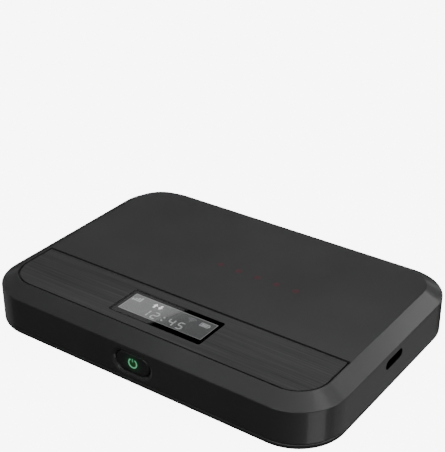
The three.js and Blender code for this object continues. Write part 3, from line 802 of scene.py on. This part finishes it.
BARS = {  # the bars of a seven-bar digit: place across and up, and whether the bar stands upright
    "top": (0, 1, False), "middle": (0, 0, False), "low": (0, -1, False),
    "upper left": (-1, 0.5, True), "upper right": (1, 0.5, True),
    "lower left": (-1, -0.5, True), "lower right": (1, -0.5, True),
}
LIT_BARS = {
    "1": ("upper right", "lower right"),
    "2": ("top", "middle", "low", "upper right", "lower left"),
    "4": ("middle", "upper left", "upper right", "lower right"),
    "5": ("top", "middle", "low", "upper left", "lower right"),
}


def digit(character, u, v, z):
    """A seven-bar digit, 1.8 mm wide and 3.1 mm high."""
    half_width, half_height, line, gap = 0.72, 1.35, 0.36, 0.08
    tip = line / 2
    meshes = []
    for name in LIT_BARS[character]:
        across, up, upright = BARS[name]
        end = ((half_height if upright else 2 * half_width) - gap) / 2
        points = [(-end, 0), (-end + tip, -tip), (end - tip, -tip),
                  (end, 0), (end - tip, tip), (-end + tip, tip)]
        if upright:
            points = [(-y, x) for x, y in points]
        meshes.append(polygon(points, u + across * half_width, v + up * half_height, z))
    return meshes


def arrow(u, v, direction, z):
    """An arrow that points up where direction is 1, and down where it is -1."""
    head = [(-0.72, 0.0), (0.72, 0.0), (0.0, 0.95)]
    stem = rectangle(-0.27, 0.27, -0.95, 0.02)
    return [polygon([(direction * x, direction * y) for x, y in points], u, v, z)
            for points in (head, stem)]


def signal_bars(u, v, z):
    """Four bars, each one higher than the last and starting higher."""
    return [bar(u + 0.75 * i, v + 0.2 * i, 0.5, 0.8 + 0.4 * i, z) for i in range(4)]


def battery_icon(u, v, z):
    """A battery outline with three filled bars and a small end."""
    half_length, half_height, line = 1.3, 0.75, 0.2

    def shell(inset):
        x, y = half_length - inset, half_height - inset
        return moved(rectangle(-x, x, -y, y), u, SCREEN_Y + v)

    meshes = [ring_plate(shell(0.0), shell(line), z, z + FIGURE_THICKNESS)]
    meshes += [bar(u - 0.62 + 0.6 * i, v, 0.45, 0.86, z) for i in range(3)]
    meshes.append(bar(u + half_length + 0.15, v, 0.26, 0.6, z))
    return meshes


def wireless_fan(u, v, z):
    """A dot with three quarter-circle waves above it."""
    dot = polygon(circle(0.2, 16), u, v, z)
    waves = [ring_sector(radius, 0.3, 45, 135, 14) for radius in (0.65, 1.2, 1.75)]
    return [dot] + [polygon(wave, u, v, z) for wave in waves]


def clock(v, z):
    """Plain digits across the middle of the screen, with a colon."""
    meshes = []
    for character, u in (("1", -5.6), ("2", -2.75), ("4", 2.4), ("5", 5.25)):
        meshes += digit(character, u, v, z)
    return meshes + [polygon(circle(0.27, 16), -0.15, v + dv, z) for dv in (-0.65, 0.65)]


def screen():
    """The glowing panel with its outline and its figures."""
    low, high = box_mm("display_panel")
    panel = slab(low[0], high[0], low[1], high[1], low[2], high[2], 0.12)
    add_piece("screen_panel", panel, "housing", "screen", ("display_panel",))
    z = high[2] + 0.005
    outline = ring_plate(on_screen(0.0, 0.12), on_screen(0.2, 0.06), z, z + 0.015)
    add_piece("screen_outline", outline, "housing", "outline")
    for name, material, meshes in (
            ("screen_icons", "icons", signal_bars(-12.4, 1.45, z) + battery_icon(10.2, 1.95, z)),
            ("screen_clock", "icons", clock(-1.7, z)),
            ("data_arrows", "icons_bright", arrow(-5.5, 2.05, 1, z) + arrow(-3.8, 2.05, -1, z)),
            ("wireless_fan", "icons_dim", wireless_fan(6.0, 1.15, z))):
        add_piece(name, merge(*meshes), "housing", material, weighted=False)


def window():
    """The glass, with a printed border under it and a dark gasket round it."""
    low, high = box_mm("display_window")
    border_low, border_high = low[2] - 0.04, low[2] - 0.02
    border = ring_plate(moved(grown_window(-0.1), 0, DISPLAY_Y), on_screen(-0.01, 0.13),
                        border_low, border_high)
    gasket = ring_plate(moved(grown_window(0.08), 0, DISPLAY_Y),
                        moved(grown_window(-0.06), 0, DISPLAY_Y), border_low, high[2] - 0.12)
    add_piece("window_border", merge(border, gasket), "housing", "border")
    glass = prism(lambda inset: grown_window(-inset), low[2], high[2] - 0.06, 0.05,
                  Matrix.Translation((0, DISPLAY_Y, 0)), 4)
    add_piece("window_glass", glass, "housing", "glass", ("display_window",))


# ---------- power button ----------


def power_button():
    """A pill-shaped cap with a rounded edge and a slightly hollow face, a flange and a boss."""
    face = box_mm("power_button")[0][1]
    back = -WIDTH / 2 + WALL + 0.15
    edge_radius = 0.4
    edge = fillet([(0.0, -1.0), (0.0, 0.0), (AWAY, 0.0)], [edge_radius], 6)[1:-1]
    hollow = [(0.9, -0.02), (1.5, -0.05), (2.1, -0.07), (2.6, -0.08)]  # inset, height
    path = [(0.0, face - back - 0.1), *edge, *hollow]
    cap = loft([(pill(*BUTTON, -CAP_MARGIN - inset), height) for inset, height in path],
               front_place(BUTTON_Z, face))
    flange = plate(pill(BUTTON[0] + 1.6, BUTTON[1] + 1.4), -0.7, 0, front_place(BUTTON_Z, back))
    boss = plate(pill(3.6, 2.2), -1.2, -0.6, front_place(BUTTON_Z - 0.5, back))
    add_piece("button_cap", combine(cap, add=[flange, boss]), "power_button",
              "button", ("power_button",), sharp=35)


def power_symbol():
    """A ring with a gap at its top and a short stem in the gap."""
    place = front_place(BUTTON_Z, box_mm("power_symbol_ring")[0][1])
    radius, line, gap = 1.25, 0.35, 32
    rings = []
    for inset, height in ((0.0, -0.3), (0.0, -0.02), (0.03, 0.0)):
        outline = ring_sector(radius, line - 2 * inset, 90 + gap, 450 - gap, 40)
        rings.append((outline, height))
    add_piece("symbol_ring", loft(rings, place), "power_button", "symbol",
              ("power_symbol_ring",), sharp=50)
    stem_length, stem_middle = 1.0, 0.85

    def stem(inset):
        points = rounded_rect(line - 2 * inset, stem_length - 2 * inset, 0.12, 4)
        return moved(points, 0, stem_middle)

    add_piece("symbol_stem", prism(stem, -0.3, 0.0, 0.03, place), "power_button",
              "symbol_stem", ("power_symbol_stem",))


# ---------- charging port ----------


def port_contacts(depth, place):
    """Twelve gold contacts on each face of the tongue."""
    count, pitch, half_width, half_thickness = 12, 0.5, 0.13, 0.015
    contacts = []
    for i in range(count):
        y = pitch * (i - (count - 1) / 2)
        for side in (-1, 1):
            middle = side * (PORT_TONGUE[1] / 2 + 0.01)
            points = rectangle(y - half_width, y + half_width,
                               middle - half_thickness, middle + half_thickness)
            contacts.append(plate(points, -depth + 2.1, -0.8, place))
    add_piece("port_contacts", merge(*contacts), "housing", "gold")


def charging_port():
    """A rolled shell, coloured near black as painted shade, behind a thin black lining in the wall
    that is painted shade too, and a tongue with its contacts.
    """
    low, high = box_mm("usb_shell")
    depth = high[0] - low[0]
    place = port_place(high[0])
    sheet, edge_radius = 0.3, 0.14
    path = fillet([(0.0, -depth), (0.0, 0.0), (AWAY, 0.0)], [edge_radius], 4)[:-1]
    outer = loft([(pill(*PORT_SHELL, -inset), height) for inset, height in path], place)
    inner = rim(lambda offset: pill(*PORT_SHELL, offset - sheet), depth - 0.3, 0.1, place)
    add_piece("port_shell", clean(combine(outer, cut=[inner])), "housing",
              "port", ("usb_shell",))
    # Painted shade: a near-black lining on the opening's wall, so that the port's mouth reads as dark
    # as shadow.
    shade_sleeve = ring_plate(pill(*PORT_OPENING, -0.01), pill(*PORT_OPENING, -0.13), -0.84, -0.1)
    shade_sleeve.transform(port_place(LENGTH / 2))
    add_piece("port_sleeve", shade_sleeve, "housing", "border", weighted=False)
    base = plate(pill(*PORT_SHELL, -0.45), -depth + 0.4, -depth + 2.0, place)
    length, thickness = PORT_TONGUE
    tongue = prism(
        lambda inset: rounded_rect(length - 2 * inset, thickness - 2 * inset, 0.2, 4),
        -depth + 1.9, -0.5, 0.12, place)
    add_piece("port_tongue", combine(base, add=[tongue]), "housing", "chip", ("usb_tongue",))
    port_contacts(depth, place)


# ---------- inside ----------
PLAIN_NODES = {  # material, which is also the slot, and width of the rounded edges
    "chassis_frame": ("chassis", 0.12),
    "battery_pressure_pad": ("foam", 0.1),
    "main_board": ("board", 0.05),
    "modem_shield": ("sheet", 0.15),
    "wifi_shield": ("sheet", 0.15),
    "power_shield": ("sheet", 0.15),
    "modem_chip": ("chip", 0.06),
    "memory_chip": ("chip", 0.06),
    "wifi_chip": ("chip", 0.06),
    "power_chip": ("chip", 0.06),
    "thermal_pad": ("pad", 0.2),
    "display_carrier": ("chassis", 0.12),
    "display_flex": ("flex", 0.03),
    "display_connector": ("chip", 0.08),
    "switch_plunger": ("chip", 0.08),
    "power_switch": ("chip", 0.08),
    "power_led": ("symbol", 0.05),
    "reset_switch": ("sheet", 0.06),
    "reset_plunger": ("chip", 0.08),
    "sim_socket": ("chip", 0.04),
    "sim_clamp": ("sheet", 0.05),
    "sim_card": ("sim", 0.04),
    "battery_cell": ("wrap", 0.5),
    "battery_end_cap": ("end_cap", 0.1),
    "battery_connector": ("chassis", 0.1),
    "lte_antenna_main": ("copper", 0.02),
    "lte_antenna_diversity": ("copper", 0.02),
    "wifi_antenna_back": ("copper", 0.02),
    "wifi_antenna_front": ("copper", 0.02),
    **{f"chassis_screw_{i + 1}": ("screw", 0.08) for i in range(6)},
    **{f"battery_terminal_{i + 1}": ("gold", 0.03) for i in range(4)},
    **{f"battery_blade_{i + 1}": ("gold", 0.02) for i in range(4)},
}


def inner_pieces():
    for node, (material, edge) in PLAIN_NODES.items():
        refine(node, material, edge)


def sticker(length, depth, radius, x, y, low, high):
    """A thin flat label around (x, y)."""
    return plate(moved(rounded_rect(length, depth, radius, 6), x, y), low, high)


def battery_label():
    """A blank label under the battery with two border lines, and its plus and minus signs."""
    under = box_mm("battery_cell")[0][2]
    low, high = under - 0.03, under + 0.02
    x, length, depth = -17, 42, 38
    label = sticker(length, depth, 1.5, x, 0, low, high)
    sign_x, sign_y, sign_length, line = 12.5, 4.5, 2.4, 0.6
    minus = sticker(sign_length, line, 0.1, sign_x, sign_y, low, high)
    plus = combine(sticker(sign_length, line, 0.1, sign_x, -sign_y, low, high),
                   add=[sticker(line, sign_length, 0.1, sign_x, -sign_y, low, high)])
    add_piece("battery_label", merge(label, plus, minus), "battery", "label", weighted=False)
    lines = []
    for inset in (1.0, 2.0):
        outer = rounded_rect(length - 2 * inset, depth - 2 * inset, 1.0, 6)
        inner = rounded_rect(length - 2 * inset - 0.4, depth - 2 * inset - 0.4, 0.8, 6)
        lines.append(ring_plate(moved(outer, x, 0), moved(inner, x, 0), under - 0.04, under - 0.01))
    add_piece("battery_label_lines", merge(*lines), "battery", "label_ink",
              weighted=False)


def deck_label():
    """A blank label on the chassis's lower face, beside the battery."""
    deck = box_mm("chassis_frame")[0][2]
    add_piece("deck_label", sticker(14, 30, 1.2, 33, 0, deck - 0.03, deck + 0.02), "housing",
              "label", weighted=False)


SMALL, LARGE = (1.0, 0.5, 0.5), (1.6, 0.8, 0.5)  # length, depth and height of a ceramic part
CHIP_ROWS = [  # x and y of the first part, step in y, count, size
    (29.5, -24.0, 1.6, 12, SMALL), (31.5, -24.0, 1.6, 12, SMALL), (34.5, -22.0, 2.4, 6, LARGE),
    (29.5, 6.0, 1.6, 10, SMALL), (33.0, 6.0, 2.4, 6, LARGE), (-42.0, -14.0, 2.0, 14, SMALL),
    (-2.0, -6.0, 1.6, 5, SMALL), (-5.0, -6.0, 1.6, 18, SMALL), (8.0, -26.0, 1.8, 12, SMALL),
    (12.0, -15.0, 2.4, 5, LARGE),
]
BOARD_CHIPS = [  # x, y, length, depth, height
    (40.0, -14.0, 4.0, 4.0, 0.8), (39.0, 14.0, 5.0, 5.0, 0.8), (17.0, -10.0, 3.0, 3.0, 0.7),
    (22.0, -16.0, 4.0, 3.0, 0.9), (3.0, -5.0, 3.0, 2.5, 0.7), (-26.0, -16.0, 6.0, 4.0, 0.8),
]


def board_parts():
    """Capacitors, resistors and small packages on the upper face of the board."""
    top = box_mm("main_board")[1][2] - 0.02
    edge = 0.04
    bodies, ends = [], []
    for x, first, step, count, (length, depth, height) in CHIP_ROWS:
        end = length * 0.24  # the solder on each end
        for i in range(count):
            y = first + step * i
            bodies.append(block(x, y, length - 2 * end, depth - 0.04, top, top + height - 0.03, edge))
            for side in (-1, 1):
                middle = x + side * (length - end) / 2
                ends.append(block(middle, y, end, depth, top, top + height, edge))
    add_piece("board_ceramics", merge(*bodies), "housing", "ceramic")
    add_piece("board_solder_ends", merge(*ends), "housing", "sheet")
    packages = [block(x, y, length, depth, top, top + height, 0.08)
                for x, y, length, depth, height in BOARD_CHIPS]
    add_piece("board_packages", merge(*packages), "housing", "chip")


# ---------- stage, light and camera ----------


def camera():
    """The photograph's view: place, aim and lens come from a fit to the case's straight edges."""
    data = bpy.data.cameras.new("camera")
    data.sensor_width = 36.0
    data.lens = 87.3
    data.clip_start = 0.01
    obj = bpy.data.objects.new("camera", data)
    bpy.context.scene.collection.objects.link(obj)
    eye = Vector((145.85, -205.47, 164.06)) * MM
    target = Vector((-23.22, 33.92, 6.71)) * MM
    obj.location = eye
    obj.rotation_euler = (target - eye).to_track_quat("-Z", "Y").to_euler()
    bpy.context.scene.camera = obj


def stage_floor():
    """A wide pale disc that glows, so that it reads as an even white ground without a horizon."""
    radius, thickness, gap = 2500, 4.98, 0.02
    disc = circle(radius, 96)
    mesh = plate(disc, -gap - thickness, -gap)
    mesh.transform(Matrix.Scale(MM, 4))
    floor = bpy.data.objects.new("floor", mesh)
    bpy.context.scene.collection.objects.link(floor)
    paint = Surface("floor_paint", (0.35, 0.35, 0.35), 0.9, specular=0.1)
    paint.set("Emission Color", (1.0, 1.0, 1.0)).set("Emission Strength", 7.6)
    mesh.materials.append(paint.material)
    floor.visible_glossy = False
    floor.visible_diffuse = False
    floor.visible_transmission = False
    floor.visible_shadow = False


def pale_world():
    """A white background that is seen by the camera but lights nothing."""
    world = bpy.data.worlds.new("world")
    bpy.context.scene.world = world
    world.use_nodes = True
    background = world.node_tree.nodes["Background"]
    background.inputs["Color"].default_value = (1.0, 1.0, 1.0, 1)
    background.inputs["Strength"].default_value = 8.0
    world.cycles_visibility.diffuse = False
    world.cycles_visibility.glossy = False
    world.cycles_visibility.transmission = False


def area_light(name, position, aim, size, radiance):
    """A rectangular softbox. size is (width, height) in metres; radiance is its brightness."""
    data = bpy.data.lights.new(name, "AREA")
    data.shape = "RECTANGLE"
    data.size, data.size_y = size
    data.energy = radiance * math.pi * size[0] * size[1]
    obj = bpy.data.objects.new(name, data)
    bpy.context.scene.collection.objects.link(obj)
    obj.location = position
    direction = Vector(aim) - Vector(position)
    obj.rotation_euler = direction.to_track_quat("-Z", "Y").to_euler()
    obj.visible_camera = False
    return obj


def light_only(lamps, label, prefixes, others=False):
    """Lets the lamps reach only the objects with these name prefixes, or only the others."""
    lit = bpy.data.collections.new("lit_" + label)
    for obj in bpy.context.scene.collection.objects:
        if obj.name.startswith(prefixes) != others:
            lit.objects.link(obj)
    for lamp in lamps:
        lamp.light_linking.receiver_collection = lit


DISPLAY_PIECES = ("screen_", "data_arrows", "wireless_fan", "window_")
CENTRE = (0, 0, 0.01)
STUDIO_LAMPS = [  # name, position and size in metres, radiance; all are aimed at the centre
    ("overhead", (0.0, 0.1, 1.1), (1.4, 1.4), 0.85),
    ("right_mid", (0.6, 0.1, 0.3), (0.4, 0.25), 3.11),
    ("right_high", (0.6, 0.0, 0.7), (0.7, 0.7), 2.28),
    ("right_side", (0.3, 0.5, 0.3), (0.3, 0.2), 2.6),
    ("right_back", (0.42, 0.32, 0.06), (0.3, 0.12), 0.5),
    ("back_right", (0.30, 0.62, 0.50), (0.25, 0.25), 1.3),
    ("back_left", (-0.55, 0.55, 0.06), (0.7, 0.12), 0.5),
    ("back_low", (0.1, 0.8, 0.08), (0.8, 0.12), 0.91),
    ("front_fill", (0.1, -0.9, 0.5), (0.8, 0.5), 3.72),
    ("left_low", (-0.7, -0.1, 0.1), (0.5, 0.15), 2.31),
    ("high_back", (-0.45, 0.85, 1.0), (0.6, 0.4), 1.88),
    ("high_left", (-0.9, 0.45, 0.9), (0.4, 0.6), 1.12),
]
CORNER_CARDS = [  # name, position, the corner or side aimed at, size, radiance
    ("card_corner", (0.402, -0.135, -0.31), (0.045, -0.03, 0.007), (0.257, 0.3), 1.7),
    ("card_left", (-0.47, -0.05, -0.25), (-0.045, -0.03, 0.007), (0.3, 0.3), 0.28),
    ("card_right", (0.284, 0.26, -0.31), (0.05, 0, 0.007), (0.37, 0.3), 0.39),
]


def display_softbox():
    """A softbox whose straight edge is mirrored across the display window as a slanted line."""
    line = ((2.2, -19.0), (-1.4, -28.5))  # where the line crosses the window's long edges, in mm
    distance = 3.0  # from the window to the softbox, in camera distances
    eye = bpy.context.scene.camera.location
    level = box_mm("display_window")[1][2] * MM
    mirrored = Vector((eye.x, eye.y, 2 * level - eye.z))
    ends = [Vector((x * MM, y * MM, level)) for x, y in line]
    far = [end + (end - mirrored) * distance for end in ends]
    middle = (far[0] + far[1]) / 2
    outward = (middle - (ends[0] + ends[1]) / 2).normalized()
    edge = far[1] - far[0]
    along = (edge - outward * edge.dot(outward)).normalized()
    across = outward.cross(along)
    width, height = 0.16, 0.12
    lamp = area_light("display_softbox", middle, (0, 0, 0), (width, height), 0.38)
    lamp.rotation_euler = Matrix((along, across, outward)).transposed().to_euler()
    lamp.location = middle - across * (height / 2)
    light_only([lamp], "display", DISPLAY_PIECES)


def lights():
    """The studio on all but the display, cards for the casing's corners, and the display's own."""
    studio = [area_light(name, position, CENTRE, size, radiance)
              for name, position, size, radiance in STUDIO_LAMPS]
    light_only(studio, "body", DISPLAY_PIECES, others=True)
    cards = [area_light(*card) for card in CORNER_CARDS]
    light_only(cards, "casing", ("casing",))
    display_softbox()


top_cover()
trim_strip()
panel_dots()
back_cover()
screen()
window()
power_button()
power_symbol()
charging_port()
inner_pieces()
battery_label()
deck_label()
board_parts()
camera()
stage_floor()
lights()
pale_world()
